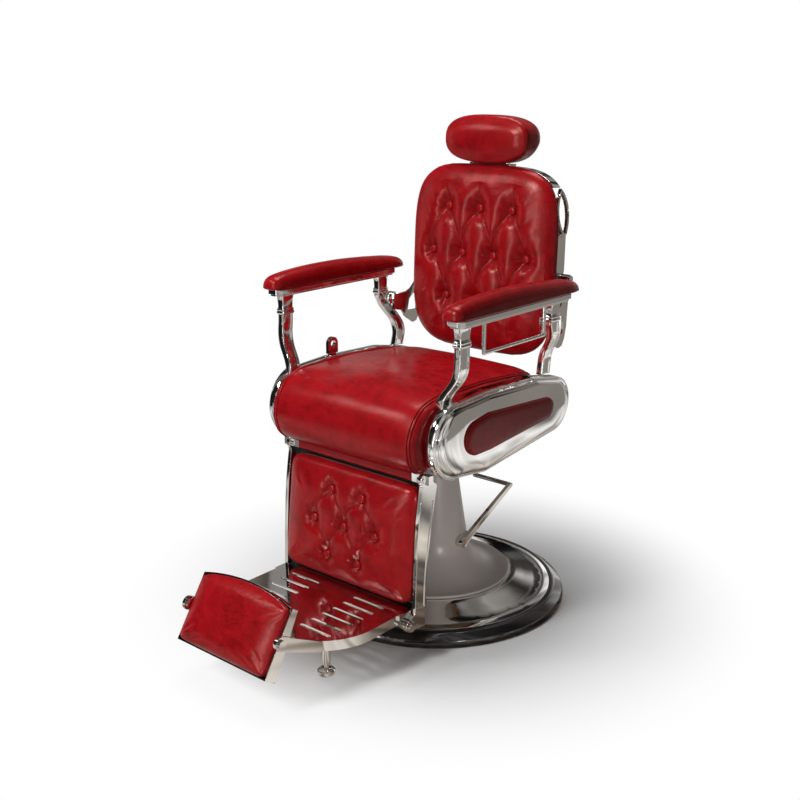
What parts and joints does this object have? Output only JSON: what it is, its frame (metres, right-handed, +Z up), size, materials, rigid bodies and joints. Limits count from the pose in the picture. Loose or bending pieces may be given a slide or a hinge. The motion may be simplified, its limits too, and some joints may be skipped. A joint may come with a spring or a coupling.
{
  "type": "barber chair",
  "caption": "Reclining hydraulic barber chair with tufted back and leg rest, headrest, padded arms, towel bar, slotted footplate with kick pad, and a round pedestal base.",
  "frame": {"origin": "middle of the round base on the floor, on the axis of the column", "axes": "+Z up along the column; the chair faces -Y; +X is the left of the person who sits in it"},
  "size_m": [0.6799, 1.0793, 1.2065],
  "materials": {
    "leather": "glossy, mottled",
    "chrome": "mirror polished",
    "grey_paint": "semi-gloss",
    "black_paint": "high gloss",
    "steel": "machined",
    "board": "raw plywood",
    "liner": "matt",
    "bronze": "plain bearing"
  },
  "bodies": {
    "base": {"base_ring": "black_paint", "base_disc": "steel", "base_plate": "chrome", "column_cover": "grey_paint", "pump_cylinder": "steel", "cylinder_bolts": "chrome", "guide_bush": "bronze", "pump_block": "steel"},
    "foot_pump_lever": {"lever_shaft": "chrome", "pump_lever": "chrome"},
    "pump_plunger": {"plunger": "steel"},
    "lift_ram": {"ram": "steel", "thrust_washer": "bronze"},
    "seat": {"seat_hub": "steel", "front_rail": "steel", "rear_rail": "steel", "seat_board": "board", "seat_cushion": "leather", "apron": "leather", "side_shell_left": "chrome", "side_shell_right": "chrome", "inset_pad_left": "leather", "inset_pad_right": "leather", "front_post_left": "chrome", "front_post_right": "chrome", "rear_post_left": "chrome", "rear_post_right": "chrome", "arm_bar_left": "chrome", "arm_bar_right": "chrome", "arm_pad_left": "leather", "arm_pad_right": "leather", "towel_bar": "chrome", "back_bracket_left": "chrome", "back_bracket_right": "chrome", "knee_bracket_left": "chrome", "knee_bracket_right": "chrome"},
    "back": {"back_cushion": "leather", "back_buttons": "leather", "back_board": "board", "rear_panel": "leather", "back_hoop": "chrome", "back_arm_left": "chrome", "back_arm_right": "chrome", "headrest_guide": "chrome"},
    "headrest_frame": {"headrest_posts": "chrome"},
    "headrest": {"headrest_hinge": "chrome", "headrest_pad": "leather"},
    "leg_rest": {"leg_bar_left": "chrome", "leg_bar_right": "chrome", "leg_board": "liner", "leg_pad": "leather", "leg_buttons": "leather", "footplate": "chrome", "footplate_screws": "chrome", "support_legs": "chrome"},
    "foot_left": {"levelling_foot_left": "chrome"},
    "foot_right": {"levelling_foot_right": "chrome"},
    "kick_flap": {"kick_tray": "chrome", "kick_pad": "leather"},
    "recline_handle": {"recline_lever": "chrome"}
  },
  "joints": [
    {"name": "pump_lever_hinge", "type": "hinge", "parent": "base", "child": "foot_pump_lever", "pos_m": [0.098, 0, 0.154], "axis": [-1, 0, 0], "range_deg": [0, 20], "stiffness_Nm_per_rad": 4, "springref_deg": -20.05},
    {"name": "plunger_slide", "type": "slide", "parent": "base", "child": "pump_plunger", "axis": [0, 0, -1], "range_m": [0, 0.008]},
    {"name": "lift_slide", "type": "slide", "parent": "base", "child": "lift_ram", "axis": [0, 0, 1], "range_m": [0, 0.15]},
    {"name": "seat_swivel", "type": "hinge", "parent": "lift_ram", "child": "seat", "pos_m": [0, 0, 0.45], "axis": [0, 0, 1], "continuous": true},
    {"name": "back_hinge", "type": "hinge", "parent": "seat", "child": "back", "pos_m": [0, 0.23, 0.82], "axis": [-1, 0, 0], "range_deg": [0, 40]},
    {"name": "leg_rest_hinge", "type": "hinge", "parent": "seat", "child": "leg_rest", "pos_m": [0, -0.3, 0.436], "axis": [-1, 0, 0], "range_deg": [0, 60]},
    {"name": "headrest_slide", "type": "slide", "parent": "back", "child": "headrest_frame", "axis": [0, 0.0436, 0.999], "range_m": [0, 0.09]},
    {"name": "headrest_tilt", "type": "hinge", "parent": "headrest_frame", "child": "headrest", "pos_m": [0, 0.22945, 1.12832], "axis": [-1, 0, 0], "range_deg": [0, 25]},
    {"name": "left_foot_screw", "type": "slide", "parent": "leg_rest", "child": "foot_left", "axis": [0, 0, -1], "range_m": [0, 0.007]},
    {"name": "right_foot_screw", "type": "slide", "parent": "leg_rest", "child": "foot_right", "axis": [0, 0, -1], "range_m": [0, 0.007]},
    {"name": "kick_flap_hinge", "type": "hinge", "parent": "leg_rest", "child": "kick_flap", "pos_m": [0, -0.693, 0.168], "axis": [1, 0, 0], "range_deg": [0, 180]},
    {"name": "recline_handle_hinge", "type": "hinge", "parent": "seat", "child": "recline_handle", "pos_m": [-0.242, -0.116, 0.584], "axis": [-1, 0, 0], "range_deg": [0, 20], "stiffness_Nm_per_rad": 1, "springref_deg": -17.19}
  ],
  "couplings": [
    {"joint": "leg_rest_hinge", "follows": "back_hinge", "ratio": 1.5},
    {"joint": "plunger_slide", "follows": "pump_lever_hinge", "m_per_rad": 0.022}
  ]
}
